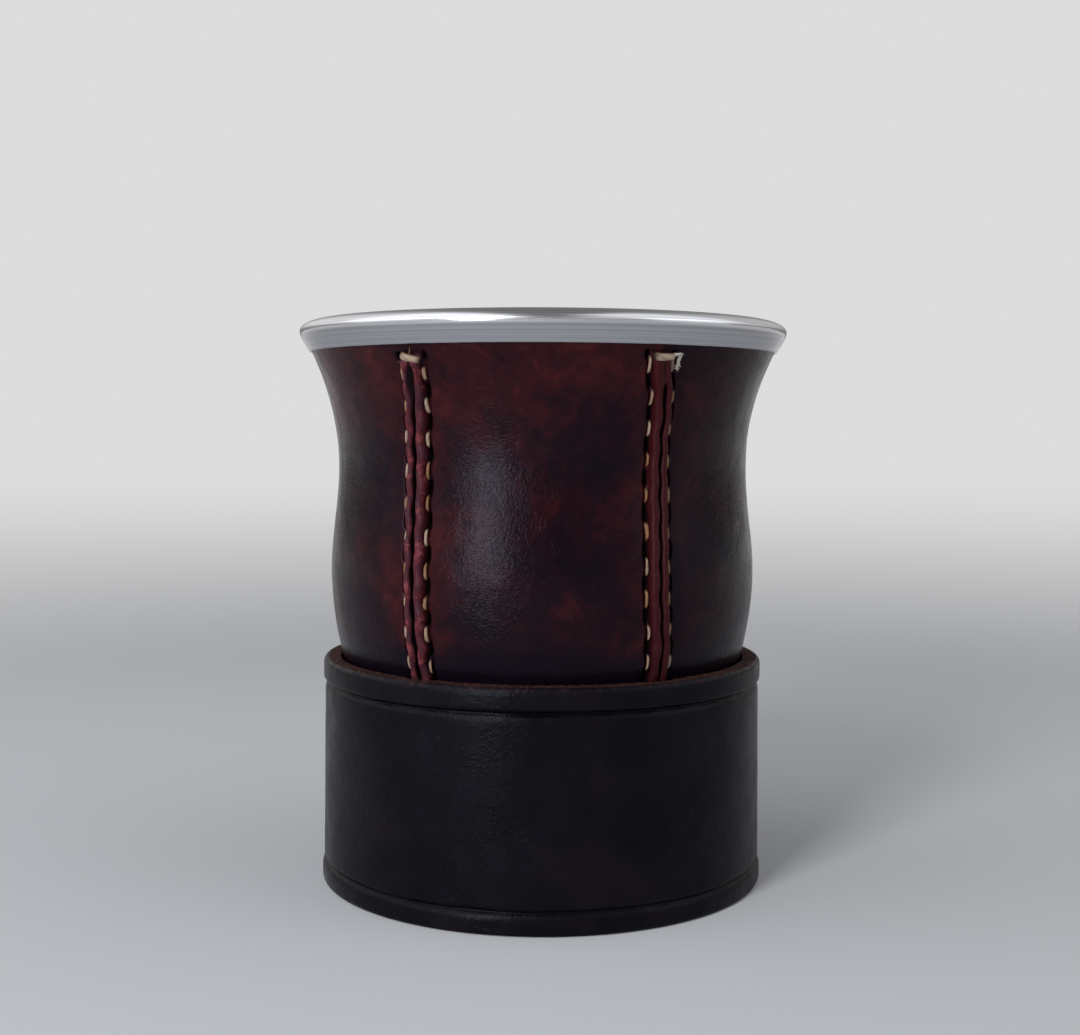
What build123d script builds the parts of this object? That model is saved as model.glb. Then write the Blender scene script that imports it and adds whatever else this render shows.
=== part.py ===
from build123d import *
from math import sqrt, tan, radians
import os

# A mate gourd sewn into a leather cover, with a rolled metal rim, held upright by a leather ring stand.
# Millimetres, +Z up. The origin is at the centre of the stand's underside, and the front is -Y.

# The cup's outline, from the table up
bottom_clearance = 8.0  # table to the lowest point of the cup
bowl_depth = 49.0  # lowest point to the belly, the widest part of the bowl
belly_to_waist = 20.0
waist_to_rim = 19.6
rim_height = 5.5
belly_radius = 38.9
waist_radius = 37.45
mouth_radius = 42.3  # where the rim's edge meets the leather
flare_angle = 24.0  # the wall's lean at the rim's edge, from upright
outline_points = 14

# The cup's wall
leather_thickness = 1.6
gourd_thickness = 4.0
wall_reach = 2.8  # how far the wall goes up inside the rim
fit_clearance = 0.05

# The rim
rim_overhang = 2.2
rim_edge_thickness = 0.5
rim_edge_to_widest = 3.7
rim_crown_inset = 4.5  # from the widest point in to the crown
sleeve_depth = 8.0  # below the rim's edge
sleeve_thickness = 0.8

# The seams, where two panels have their edges turned out as a pair of lips
seam_count = 5
first_seam_angle = 236.4  # the seam on the left of the front, from +X
front_panel_angle = 64.4  # the panel between the two seams at the front is the narrowest
slit_width = 0.4
lip_width = 2.7
lip_height = 1.1
crest_width = 1.7  # the tall inner part of a lip
shoulder_height = 0.25  # the low outer part of a lip, which the thread lies on
lip_end_gap = 0.4  # between the lips and the rim's edge
seam_end_radius = 7.0  # the seams stop this far from the cup's axis

# The thread, in two rows of stitches a seam and a bar across its top
thread_thickness = 0.8
thread_clearance = 0.1
stitch_length = 3.0
stitch_pitch = 5.35
row_offset = 2.25  # from the slit to a row of stitches
first_stitch_drop = 5.2  # below the rim's edge, along the wall
bar_length = 3.9
bar_thickness = 1.1
bar_drop = 2.6

# The ring stand
stand_height = 41.0
stand_wall = 2.0
stand_flare = 0.3  # how much wider the foot is than the top
seat_clearance = 0.2
groove_width = 1.0
groove_depth = 0.5
foot_band_height = 3.9
top_band_height = 4.4
band_proud = 0.3
stand_outer_round = 0.8
stand_inner_round = 0.3

# Heights and radii that follow from the sizes above
belly_height = bottom_clearance + bowl_depth
waist_height = belly_height + belly_to_waist
rim_edge_height = waist_height + waist_to_rim
total_height = rim_edge_height + rim_height
wall_top = rim_edge_height + wall_reach
rim_radius = mouth_radius + rim_overhang
widest_height = rim_edge_height + rim_edge_to_widest
crown_radius = rim_radius - rim_crown_inset
gourd_inset = leather_thickness + fit_clearance
sleeve_inset = gourd_inset + gourd_thickness + fit_clearance
mouth_inset = sleeve_inset + sleeve_thickness
flare_direction = (tan(radians(flare_angle)), 1)

# The stand's bore clears the seams where the cup sits in it
seat_drop = (belly_height - min(stand_height, belly_height)) / bowl_depth
seat_radius = belly_radius * sqrt(1 - seat_drop**2)
seam_proud = max(lip_height, shoulder_height + thread_clearance + thread_thickness)
stand_bore_radius = seat_radius + seam_proud + seat_clearance

# The panels behind the front one share the rest of the circle evenly
back_panel_angle = (360 - front_panel_angle) / (seam_count - 1)
second_seam_angle = first_seam_angle + front_panel_angle
seam_angles = [first_seam_angle]
for index in range(seam_count):
    seam_angles.append(second_seam_angle + index * back_panel_angle)

# The cover's outline as a half section, X outwards and Y up, from the lowest point to the rim's edge
with BuildLine() as outline:
    EllipticalCenterArc((0, belly_height), belly_radius, bowl_depth, start_angle=270, arc_size=90)
    Spline(
        (belly_radius, belly_height),
        (waist_radius, waist_height),
        (mouth_radius, rim_edge_height),
        tangents=((0, 1), (0, 1), flare_direction),
    )
outline_wire = outline.wires()[0]


def outline_place(distance):
    """The point on the outline this far from its lowest point, and the direction in from there."""
    point = outline_wire.position_at(distance, PositionMode.LENGTH)
    along = outline_wire.tangent_at(distance, PositionMode.LENGTH)
    return point, along, Vector(-along.Y, along.X)


def inset_stations(inset):
    """Points along the outline, moved in by the inset, and the outline's direction at each."""
    points = []
    directions = []
    for index in range(outline_points):
        distance = outline_wire.length * index / (outline_points - 1)
        point, along, inward = outline_place(distance)
        points.append(point + inward * inset)
        directions.append(along)
    return points, directions


def cup_section(inset):
    """The half section of all that is inside the outline moved in by the inset, up to the rim's top."""
    points, directions = inset_stations(inset)
    with BuildSketch() as section:
        with BuildLine():
            Spline(points, tangents=directions)
            Polyline(points[-1], (points[-1].X, total_height), (0, total_height), points[0])
        make_face()
    return section.sketch_local


def wall_section(outer_inset, inner_inset, low=0, high=wall_top, least_radius=0):
    """The wall's half section between two insets, from low to high and outside a radius."""
    with BuildSketch() as section:
        add(cup_section(outer_inset))
        add(cup_section(inner_inset), mode=Mode.SUBTRACT)
        with Locations((least_radius, low)):
            Rectangle(
                2 * rim_radius, high - low, align=(Align.MIN, Align.MIN), mode=Mode.INTERSECT
            )
    return section.sketch_local


def meridian(angle):
    """The upright plane through the axis at an angle from +X, with its X outwards and its Y up."""
    outward = Vector(1, 0, 0).rotate(Axis.Z, angle)
    return Plane((0, 0, 0), x_dir=outward, z_dir=outward.cross(Vector(0, 0, 1)))


def lip_section(height):
    """A lip's half section at a height over the cover, rooted in the middle of the leather."""
    return wall_section(
        -height, leather_thickness / 2, high=rim_edge_height - lip_end_gap, least_radius=seam_end_radius
    )


def seam_lip(seam, side):
    """A lip on one side of a seam: a tall crest by the slit, and a low shoulder outside it."""
    with BuildPart() as lip:
        with BuildSketch(meridian(seam)):
            add(lip_section(lip_height))
        extrude(amount=side * crest_width)
        with BuildSketch(meridian(seam)):
            add(lip_section(shoulder_height))
        extrude(amount=side * lip_width)
    return lip.part


def leather_panel(first_seam, last_seam):
    """One panel of the cover, with a lip along each of its two seams."""
    with BuildPart() as panel:
        with BuildSketch(meridian(first_seam)):
            add(wall_section(0, leather_thickness))
        revolve(axis=Axis.Z, revolution_arc=last_seam - first_seam)
        # A meridian plane faces back towards smaller angles
        for seam, side in ((first_seam, -1), (last_seam, 1)):
            add(seam_lip(seam, side))
            with BuildSketch(meridian(seam)):
                Rectangle(4 * rim_radius, 4 * total_height)
            extrude(amount=side * slit_width / 2, mode=Mode.SUBTRACT)
    return panel.part


def stitch(length, thickness):
    """One round-ended stitch lying along Z."""
    radius = thickness / 2
    straight = length / 2 - radius
    with BuildPart() as bead:
        with BuildSketch(Plane.XZ):
            with BuildLine():
                CenterArc((0, -straight), radius, -90, 90)
                Line((radius, -straight), (radius, straight))
                CenterArc((0, straight), radius, 0, 90)
                Line((0, length / 2), (0, -length / 2))
            make_face()
        revolve(axis=Axis.Z)
    return bead.part


def thread_place(seam, drop, aside, height):
    """A stitch's centre, a drop below the rim's edge, with the directions along and across the seam."""
    point, along, inward = outline_place(outline_wire.length - drop)
    centre = point - inward * height
    upright = meridian(seam)
    origin = upright.from_local_coords(Vector(centre.X, centre.Y, aside))
    down_seam = upright.from_local_coords(along) - upright.origin
    return origin, down_seam, upright.z_dir


def seam_thread(seam):
    """The thread of one seam: its stitches down both lips, and the bar over its top end."""
    row_height = shoulder_height + thread_clearance + thread_thickness / 2
    bar_height = lip_height + thread_clearance + bar_thickness / 2
    row_length = outline_wire.length - first_stitch_drop - seam_end_radius
    places = []
    for index in range(int(row_length / stitch_pitch)):
        for aside in (-row_offset, row_offset):
            drop = first_stitch_drop + index * stitch_pitch
            origin, down_seam, across = thread_place(seam, drop, aside, row_height)
            places.append(Plane(origin, x_dir=across, z_dir=down_seam))
    bar_origin, down_seam, across = thread_place(seam, bar_drop, 0, bar_height)
    with BuildPart() as thread:
        with Locations(*places):
            add(row_stitch)
        with Locations(Plane(bar_origin, x_dir=down_seam, z_dir=across)):
            add(bar_stitch)
    return thread.part


row_stitch = stitch(stitch_length, thread_thickness)
bar_stitch = stitch(bar_length, bar_thickness)

with BuildPart() as gourd_shell:
    with BuildSketch(Plane.XZ):
        add(wall_section(gourd_inset, gourd_inset + gourd_thickness))
    revolve(axis=Axis.Z)

# The rim: a bead rolled over the top of the wall, with a sleeve down inside the mouth
mouth_top = inset_stations(mouth_inset)[0][-1]
with BuildPart() as rim_collar:
    with BuildSketch(Plane.XZ):
        with BuildLine():
            Polyline(
                mouth_top,
                (mouth_top.X, rim_edge_height),
                (mouth_radius, rim_edge_height),
                (mouth_radius + rim_edge_thickness, rim_edge_height),
            )
            Spline(
                (mouth_radius + rim_edge_thickness, rim_edge_height),
                (rim_radius, widest_height),
                tangents=((1, 2), (0, 1)),
            )
            EllipticalCenterArc(
                (crown_radius, widest_height),
                rim_crown_inset,
                total_height - widest_height,
                start_angle=0,
                arc_size=90,
            )
            EllipticalCenterArc(
                (crown_radius, mouth_top.Y),
                crown_radius - mouth_top.X,
                total_height - mouth_top.Y,
                start_angle=90,
                arc_size=90,
            )
        make_face()
        add(
            wall_section(-fit_clearance, sleeve_inset, high=wall_top + fit_clearance),
            mode=Mode.SUBTRACT,
        )
        add(
            wall_section(
                sleeve_inset, mouth_inset, low=rim_edge_height - sleeve_depth, high=mouth_top.Y
            )
        )
    revolve(axis=Axis.Z)

# The ring stand: one wall with a pressed groove near each edge and a proud band beyond it
stand_top_radius = stand_bore_radius + stand_wall
stand_foot_radius = stand_top_radius + stand_flare
upper_groove_height = stand_height - top_band_height
with BuildPart() as ring_stand:
    with BuildSketch(Plane.XZ):
        with BuildLine():
            Polyline(
                (stand_bore_radius, 0),
                (stand_foot_radius + band_proud, 0),
                (stand_foot_radius + band_proud, foot_band_height - groove_width / 2),
                (stand_foot_radius - groove_depth, foot_band_height),
                (stand_foot_radius, foot_band_height + groove_width / 2),
                (stand_top_radius, upper_groove_height - groove_width / 2),
                (stand_top_radius - groove_depth, upper_groove_height),
                (stand_top_radius + band_proud, upper_groove_height + groove_width / 2),
                (stand_top_radius + band_proud, stand_height),
                (stand_bore_radius, stand_height),
                close=True,
            )
        stand_face = make_face()
        edge_corners = stand_face.vertices().group_by(Axis.Y)
        for corners in (edge_corners[0], edge_corners[-1]):
            inner_corner, outer_corner = corners.sort_by(Axis.X)
            fillet(inner_corner, radius=stand_inner_round)
            fillet(outer_corner, radius=stand_outer_round)
    revolve(axis=Axis.Z)

nodes = {"ring_stand": ring_stand.part, "gourd_shell": gourd_shell.part, "rim_collar": rim_collar.part}
for index in range(seam_count):
    nodes[f"leather_panel_{index + 1}"] = leather_panel(seam_angles[index], seam_angles[index + 1])
    nodes[f"seam_thread_{index + 1}"] = seam_thread(seam_angles[index])

os.makedirs("parts", exist_ok=True)
for name, part in nodes.items():
    part.label = name
    export_step(part, f"parts/{name}.step")
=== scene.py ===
import bisect
import random
from math import acos, atan2, cos, exp, hypot, pi, radians, sin, tan

import bmesh
import bpy
from mathutils import Matrix, Vector, noise


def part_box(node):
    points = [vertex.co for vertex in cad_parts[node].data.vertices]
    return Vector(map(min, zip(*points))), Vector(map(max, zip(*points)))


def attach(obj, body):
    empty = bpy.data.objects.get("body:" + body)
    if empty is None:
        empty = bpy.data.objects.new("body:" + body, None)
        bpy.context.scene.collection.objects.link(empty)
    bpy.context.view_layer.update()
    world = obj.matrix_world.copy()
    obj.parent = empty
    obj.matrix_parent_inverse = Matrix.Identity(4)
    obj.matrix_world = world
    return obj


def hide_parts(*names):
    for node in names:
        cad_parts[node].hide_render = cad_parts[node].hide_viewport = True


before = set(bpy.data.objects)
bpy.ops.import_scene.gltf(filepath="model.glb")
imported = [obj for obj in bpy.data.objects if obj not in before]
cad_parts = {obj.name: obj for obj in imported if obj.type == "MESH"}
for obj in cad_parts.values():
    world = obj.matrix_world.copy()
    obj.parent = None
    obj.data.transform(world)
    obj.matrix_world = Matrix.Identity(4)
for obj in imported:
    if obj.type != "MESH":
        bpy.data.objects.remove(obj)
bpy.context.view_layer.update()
print("frame loaded:", len(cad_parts), "nodes")

mm = 0.001  # shapes are worked out in millimetres and scaled to metres as each piece is finished


def mix(start, end, share):
    return start + (end - start) * share


def smoothStep(low, high, value):
    share = min(max((value - low) / (high - low), 0), 1)
    return share * share * (3 - 2 * share)


def hump(value, centre, width, power=2):  # 1 at the centre, steeper-sided with a greater power
    return exp(-abs((value - centre) / width) ** power)


def wobble(seed, *place):  # smooth noise from about -1 to 1, the same for the same seed and place
    return noise.noise(Vector((*place, 0, 0)[:3]) + Vector((seed * 17.3, seed * 5.1, seed * 9.7)))


def addToScene(name, data):
    thing = bpy.data.objects.new(name, data)
    bpy.context.scene.collection.objects.link(thing)
    return thing


def meshObject(name, shape, material):
    mesh = bpy.data.meshes.new(name)
    shape.to_mesh(mesh)
    shape.free()
    mesh.materials.append(material)
    return addToScene(name, mesh)


def makePiece(name, shape, material, slot, *cadNodes):
    bmesh.ops.scale(shape, vec=(mm, mm, mm), verts=shape.verts)
    bmesh.ops.recalc_face_normals(shape, faces=shape.faces)
    for face in shape.faces:
        face.smooth = True
    piece = meshObject(name, shape, material)
    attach(piece, "root")
    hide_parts(*cadNodes)
    print(name, "made with", len(piece.data.polygons), "faces")


def newLayers(shape, *names):  # values kept at each vertex, for the materials to read
    for name in names:
        shape.verts.layers.float.new(name)
    return {name: shape.verts.layers.float[name] for name in names}


def spunShape(profile, steps, closed=True):  # a half section, given as (radius, height), spun round Z
    shape = bmesh.new()
    line = [shape.verts.new((radius, 0, height)) for radius, height in profile]
    pairs = list(zip(line, line[1:]))
    if closed:
        pairs.insert(0, (line[-1], line[0]))
    edges = [shape.edges.new(pair) for pair in pairs]
    bmesh.ops.spin(
        shape, geom=line + edges, cent=(0, 0, 0), axis=(0, 0, 1), angle=2 * pi, steps=steps, use_merge=True
    )
    return shape


def lineRows(start, end, spacing):  # the points from start up to, but not including, end
    length = hypot(end[0] - start[0], end[1] - start[1])
    count = max(1, round(length / spacing))
    return [(mix(start[0], end[0], i / count), mix(start[1], end[1], i / count)) for i in range(count)]


def arcRows(centre, radii, startAngle, endAngle, count):
    rows = []
    for index in range(count):
        angle = radians(mix(startAngle, endAngle, index / count))
        rows.append((centre[0] + radii[0] * cos(angle), centre[1] + radii[1] * sin(angle)))
    return rows


class Shade:  # wraps a socket, so that an expression on it adds Math nodes
    def __init__(self, tree, socket=None):
        self.tree = tree
        self.socket = socket

    def node(self, kind, settings=None, sockets=None, output=0):
        made = self.tree.nodes.new(kind)
        for name, value in (settings or {}).items():
            if name == "stops":
                fillRamp(made.color_ramp, value)
            else:
                setattr(made, name, value)
        for name, value in (sockets or {}).items():
            if isinstance(value, Shade):
                self.tree.links.new(value.socket, made.inputs[name])
            else:
                made.inputs[name].default_value = value
        return Shade(self.tree, made.outputs[output] if made.outputs else None)

    def otherOutput(self, output):  # of the same node
        return Shade(self.tree, self.socket.node.outputs[output])

    def maths(self, operation, first, second=0.0):
        return self.node("ShaderNodeMath", {"operation": operation}, {0: first, 1: second})

    def __add__(self, other):
        return self.maths("ADD", self, other)

    def __radd__(self, other):
        return self.maths("ADD", other, self)

    def __sub__(self, other):
        return self.maths("SUBTRACT", self, other)

    def __rsub__(self, other):
        return self.maths("SUBTRACT", other, self)

    def __mul__(self, other):
        return self.maths("MULTIPLY", self, other)

    def __rmul__(self, other):
        return self.maths("MULTIPLY", other, self)


def fillRamp(ramp, stops):
    while len(ramp.elements) < len(stops):
        ramp.elements.new(1.0)
    for element, (place, tone) in zip(ramp.elements, stops):
        element.position = place
        element.color = tone if len(tone) == 4 else (*tone, 1)


def newMaterial(name):
    material = bpy.data.materials.new(name)
    material.use_nodes = True
    material.node_tree.nodes.clear()
    return material, Shade(material.node_tree)


def objectPlace(shade, stretch=(1, 1, 1)):  # Object coordinates in millimetres
    place = shade.node("ShaderNodeTexCoord", output=3)
    scale = [factor / mm for factor in stretch]
    return shade.node("ShaderNodeMapping", {}, {"Vector": place, "Scale": scale})


def noiseOf(shade, place, scale, detail=3.0, roughness=0.5, distortion=0.0):
    names = ("Vector", "Scale", "Detail", "Roughness", "Distortion")
    values = (place, scale, detail, roughness, distortion)
    return shade.node("ShaderNodeTexNoise", {}, dict(zip(names, values)))


def between(shade, value, low, high, toLow=0.0, toHigh=1.0):  # a smooth step from low to high
    sockets = {"Value": value, "From Min": low, "From Max": high, "To Min": toLow, "To Max": toHigh}
    return shade.node("ShaderNodeMapRange", {"interpolation_type": "SMOOTHSTEP"}, sockets)


def blendColours(shade, share, first, second, blend="MIX"):
    sockets = {0: share}
    for socket, colour in ((6, first), (7, second)):
        sockets[socket] = colour if isinstance(colour, Shade) else (*colour, 1)
    return shade.node("ShaderNodeMix", {"data_type": "RGBA", "blend_type": blend}, sockets, output=2)


def attributeOf(shade, name):
    return shade.node("ShaderNodeAttribute", {"attribute_name": name}, output=2)


def bumped(shade, height, distance, strength=1.0, normal=None):
    sockets = {"Height": height, "Distance": distance * mm, "Strength": strength}
    if normal:
        sockets["Normal"] = normal
    return shade.node("ShaderNodeBump", {}, sockets)


def finishMaterial(shade, sockets):
    surface = shade.node("ShaderNodeBsdfPrincipled", {}, sockets)
    shade.node("ShaderNodeOutputMaterial", {}, {"Surface": surface})


def finishLeather(shade, finish, tone, roughness, normal):
    sockets = {"Base Color": tone, "Roughness": roughness, "Normal": normal}
    gloss = {"Specular IOR Level": finish["gloss"], "Specular Tint": finish["glossTint"]}
    finishMaterial(shade, {**sockets, **gloss})


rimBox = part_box("rim_collar")
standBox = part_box("ring_stand")
cup = {
    "sleeveDepth": 7.8,  # the rim's inner sleeve, below the rim's lower edge
    "waistDrop": 19.6,
    "bellyDrop": 39.6,
    "bottomDrop": 88.6,
    "mouthRadius": 42.3,
    "waistRadius": 37.45,
    "bellyRadius": 38.9,
    "flareAngle": 24.0,  # the wall's lean at the rim, from upright
    "leather": 1.6,
    "gourd": 4.0,
    "fit": 0.05,
    "reach": 2.8,  # how far the wall goes up inside the rim
}
rimTop = rimBox[1].z / mm
rimRadius = rimBox[1].x / mm
rimEdge = rimBox[0].z / mm + cup["sleeveDepth"]
standTop = standBox[1].z / mm


def wallRadius(height):  # above the belly
    waist = rimEdge - cup["waistDrop"]
    belly = rimEdge - cup["bellyDrop"]
    if height < waist:
        return mix(cup["bellyRadius"], cup["waistRadius"], smoothStep(belly, waist, height))
    share = (height - waist) / cup["waistDrop"]
    lean = tan(radians(cup["flareAngle"])) * cup["waistDrop"] * (share**3 - share**2)
    return mix(cup["waistRadius"], cup["mouthRadius"], 3 * share**2 - 2 * share**3) + lean


def wallPoints():  # down the outside from the rim's lower edge to the bottom's pole
    points = []
    steps = 400
    for index in range(steps):
        height = rimEdge - cup["bellyDrop"] * index / steps
        points.append((wallRadius(height), height))
    bowl = cup["bottomDrop"] - cup["bellyDrop"]
    for index in range(steps + 1):
        angle = pi / 2 * index / steps
        points.append((cup["bellyRadius"] * cos(angle), rimEdge - cup["bellyDrop"] - bowl * sin(angle)))
    return points


wall = wallPoints()
wallDrops = [0.0]  # a drop is a way down the leather, from the rim's lower edge
for (lastRadius, lastHeight), (radius, height) in zip(wall, wall[1:]):
    wallDrops.append(wallDrops[-1] + hypot(radius - lastRadius, height - lastHeight))
wallLength = wallDrops[-1]


def wallAt(drop):  # radius, height, and the outward normal's two parts
    if drop < 0:
        return cup["mouthRadius"], rimEdge - drop, 1.0, 0.0
    index = min(max(bisect.bisect_right(wallDrops, drop) - 1, 0), len(wall) - 2)
    length = wallDrops[index + 1] - wallDrops[index]
    share = (drop - wallDrops[index]) / length
    (topRadius, topHeight), (lowRadius, lowHeight) = wall[index], wall[index + 1]
    outward = (topHeight - lowHeight) / length
    upward = (lowRadius - topRadius) / length
    return mix(topRadius, lowRadius, share), mix(topHeight, lowHeight, share), outward, upward


def insetWall(inset, drop):
    radius, height, outward, upward = wallAt(drop)
    return max(radius - outward * inset, 0), height - upward * inset


def dropAtHeight(target):
    return next(drop for drop, (radius, height) in zip(wallDrops, wall) if height <= target)


seamStyle = {
    "angles": (236.4, 300.8, 374.7, 448.6, 522.5, 596.4),  # from +X, the last is the first again
    "slitHalf": 0.23,
    "slitDepth": 1.0,
    "lipWidth": 1.5,
    "lipHeight": 1.3,
    "lipLow": 1.02,  # inside the ring stand
    "squareness": 2.7,  # of a lip's section, where 2 is an ellipse
    "rowOffset": 2.22,  # from the slit to a row of stitches
    "firstStitch": 5.2,
    "pitch": 5.35,
    "pitDepth": 1.0,
    "pitHalf": 0.46,
    "waveHeight": 0.2,
    "waver": 0.12,  # slow unsteadiness of the whole seam
    "footSettle": 15.0,  # the drift at the foot is reached this far below the belly
    "slipDrops": (24.0, 37.0),  # the stitches' slip changes between these
    "mergedDrops": (5.8, 7.3),  # merged lips part between these
    "openDrop": 6.0,  # an open slit is widest here
    "openReach": 3.6,
    "gapeDrops": (14.0, 24.0),  # a gaping slit widens between these
    "narrowDrop": 16.0,  # lips that narrow are narrowest here
    "narrowReach": 7.0,
    "slitUneven": 0.06,
    "crestUneven": 0.06,
    "shut": 0.04,  # the slit's half width under the bar
    "zone": 5.5,  # the relief beside a seam ends here
    "endRadius": 7.0,
}
# How each seam was sewn: its drift from upright at the rim, waist, belly and foot, and where the first
# ends; how far the slit opens at its top and all along, and how far the lips are merged at the top; the
# width of each lip, their bulges, how much they narrow, and their colour from pink to deep red; the bar's
# drop, place across and slope; and how far the stitches slipped, above and below
seamHabits = (
    {"drift": (1.6, 0.05, 0.55, 0.4), "settle": 19.6, "open": 0.38, "gape": 0.03, "merge": 0.0,
     "lips": (0.9, 1.06), "bulge": 0.11, "narrow": 0.0, "deep": 0.0,
     "bar": (2.15, 0.4, -14), "slip": (0.1, 0.6)},
    {"drift": (-2.4, -0.25, -0.85, 0.3), "settle": 12.0, "open": 0.0, "gape": -0.11, "merge": 1.0,
     "lips": (1.06, 0.86), "bulge": 0.03, "narrow": 0.1, "deep": 1.0,
     "bar": (1.8, 0.15, 1), "slip": (-1.6, -0.1)},
    {"drift": (0.3, 0.1, -0.2, 0.1), "settle": 18.0, "open": 0.05, "gape": 0.02, "merge": 0.3,
     "lips": (1.0, 1.0), "bulge": 0.08, "narrow": 0.0, "deep": 0.4,
     "bar": (2.3, 0.1, -4), "slip": (0.2, -0.2)},
    {"drift": (-0.2, 0.0, 0.3, -0.1), "settle": 16.0, "open": 0.0, "gape": 0.0, "merge": 0.6,
     "lips": (0.96, 1.04), "bulge": 0.06, "narrow": 0.04, "deep": 0.7,
     "bar": (2.0, -0.1, 3), "slip": (-0.3, 0.1)},
    {"drift": (0.4, 0.15, 0.1, 0.0), "settle": 18.0, "open": 0.15, "gape": 0.05, "merge": 0.0,
     "lips": (1.03, 0.97), "bulge": 0.1, "narrow": 0.0, "deep": 0.2,
     "bar": (2.4, 0.0, -2), "slip": (0.0, 0.3)},
)
seamCount = len(seamHabits)


def habitsOf(seam):
    return seamHabits[seam % seamCount]


def seamWobble(seam, seed, *place):
    return wobble(seam % seamCount + seed, *place)


def seamAngle(seam, drop):
    habits = habitsOf(seam)
    rimDrift, waistDrift, bellyDrift, footDrift = habits["drift"]
    belly = cup["bellyDrop"]
    drift = mix(rimDrift, waistDrift, smoothStep(0, habits["settle"], drop))
    drift += (bellyDrift - waistDrift) * smoothStep(cup["waistDrop"], belly, drop)
    drift += (footDrift - bellyDrift) * smoothStep(belly, belly + seamStyle["footSettle"], drop)
    drift += seamStyle["waver"] * seamWobble(seam, 1, drop / 9)
    return radians(seamStyle["angles"][seam]) + drift / cup["bellyRadius"]


def lateralRadius(drop):  # turns a distance across a seam into an angle, and holds near the pole
    return max(wallAt(drop)[0], seamStyle["endRadius"] + 0.7)


def stitchSlip(seam, drop):
    above, below = habitsOf(seam)["slip"]
    return mix(above, below, smoothStep(*seamStyle["slipDrops"], drop))


def stitchPhase(seam, drop):  # 1 at the middle of a stitch, -1 halfway to the next
    return cos(2 * pi * (drop - stitchSlip(seam, drop) - seamStyle["firstStitch"]) / seamStyle["pitch"])


def lipRise(seam, drop):  # a lip's height over the cover
    radius, height = wallAt(drop)[:2]
    bar = habitsOf(seam)["bar"][0]
    rise = mix(seamStyle["lipLow"], seamStyle["lipHeight"], smoothStep(standTop + 0.5, standTop + 5, height))
    return rise * smoothStep(bar - 0.5, bar + 0.8, drop) * smoothStep(0, 5, radius - seamStyle["endRadius"])


def mergedShare(seam, drop):
    return habitsOf(seam)["merge"] * (1 - smoothStep(*seamStyle["mergedDrops"], drop))


def lipAcross(seam, side, across, drop):  # where a place beside the slit goes, along the wall
    habits = habitsOf(seam)
    phase = stitchPhase(seam, drop)
    bar = habits["bar"][0]
    near = exp(-max(across - seamStyle["slitHalf"], 0) / 0.7)  # how much a place moves with the slit
    opening = habits["open"] * hump(drop, seamStyle["openDrop"], seamStyle["openReach"])
    opening += seamStyle["slitUneven"] * seamWobble(seam, 31, drop / 3)
    opening += habits["gape"] * smoothStep(*seamStyle["gapeDrops"], drop)
    underBar = 1 - smoothStep(bar + 0.5, bar + 1.7, drop)
    slit = mix(seamStyle["slitHalf"] + opening, 0.03, mergedShare(seam, drop))
    slit = mix(slit, seamStyle["shut"], underBar)
    width = 1 - habits["narrow"] * hump(drop, seamStyle["narrowDrop"], seamStyle["narrowReach"])
    width *= mix(habits["lips"][0 if side < 0 else 1], 1, smoothStep(1.5, 3.2, across))
    moved = across * width + (slit - seamStyle["slitHalf"]) * near
    moved -= habits["bulge"] * phase * hump(across, 1.6, 0.6)  # each stitch pulls the lip in
    moved -= 0.12 * phase * hump(across, 2.8, 0.6)
    moved += 0.05 * phase * hump(across, 0.3, 0.5)
    wave = seamStyle["waveHeight"] * sin(2 * pi * (drop - 1.4) / seamStyle["pitch"] + seam)
    wave += 0.12 * seamWobble(seam, 11, drop / 2.2)
    wave *= smoothStep(3.5, 8, drop) * (1 - smoothStep(1.2, 3.2, across))
    return side * moved + wave * (1 - 0.55 * habits["merge"])


def lipColumns():  # (distance from the slit, share of the lip's height, share of the slit's depth)
    slitSteps = 3
    columns = []
    for index in range(slitSteps):  # the slit's own steep wall
        columns.append((seamStyle["slitHalf"] + 0.006 * index, 0.0, 1 - index / slitSteps))
    half = seamStyle["lipWidth"] / 2
    power = 2 / seamStyle["squareness"]
    archSteps = 18
    for index in range(archSteps + 1):
        angle = pi * index / archSteps
        reach = abs(cos(angle)) ** power * (1 if angle < pi / 2 else -1)
        across = seamStyle["slitHalf"] + 0.02 + half * (1 - reach)
        lift = abs(sin(angle)) ** power if 0 < index < archSteps else 0.0
        columns.append((across, lift, 0.0))
    step = 0.1
    while across + step < seamStyle["zone"]:
        across += step
        columns.append((across, 0.0, 0.0))
        if across > 2.9:  # past the stitches the columns spread out
            step *= 1.25
    return columns


def pitShare(seam, across, drop):  # the hollows between stitches, and those at the bar's ends, also painted dark as shade
    first = seamStyle["firstStitch"] + stitchSlip(seam, drop)
    bar = habitsOf(seam)["bar"][0]
    gap = hump(stitchPhase(seam, drop), -1, 1.05, 3) * smoothStep(first + 0.9, first + 1.9, drop)
    gap *= 1 + 0.3 * seamWobble(seam, 3, drop / 4, across)
    ends = hump(drop, bar, 0.75, 4) * hump(across, 2.5, 0.45, 4)
    return min(gap * hump(across, seamStyle["rowOffset"] + 0.05, seamStyle["pitHalf"], 4) + ends, 1.0)


def coverRelief(angle, drop):  # slow unevenness of the stretched leather
    height = wallAt(drop)[1]
    around = (cos(angle) * 38, sin(angle) * 38)
    slow = 0.16 * wobble(5, around[0] / 13, around[1] / 13, height / 15)
    quick = 0.045 * wobble(6, around[0] / 3.7, around[1] / 3.7, height / 4.5)
    return (slow + quick) * smoothStep(0.2, 6, drop)


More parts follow.
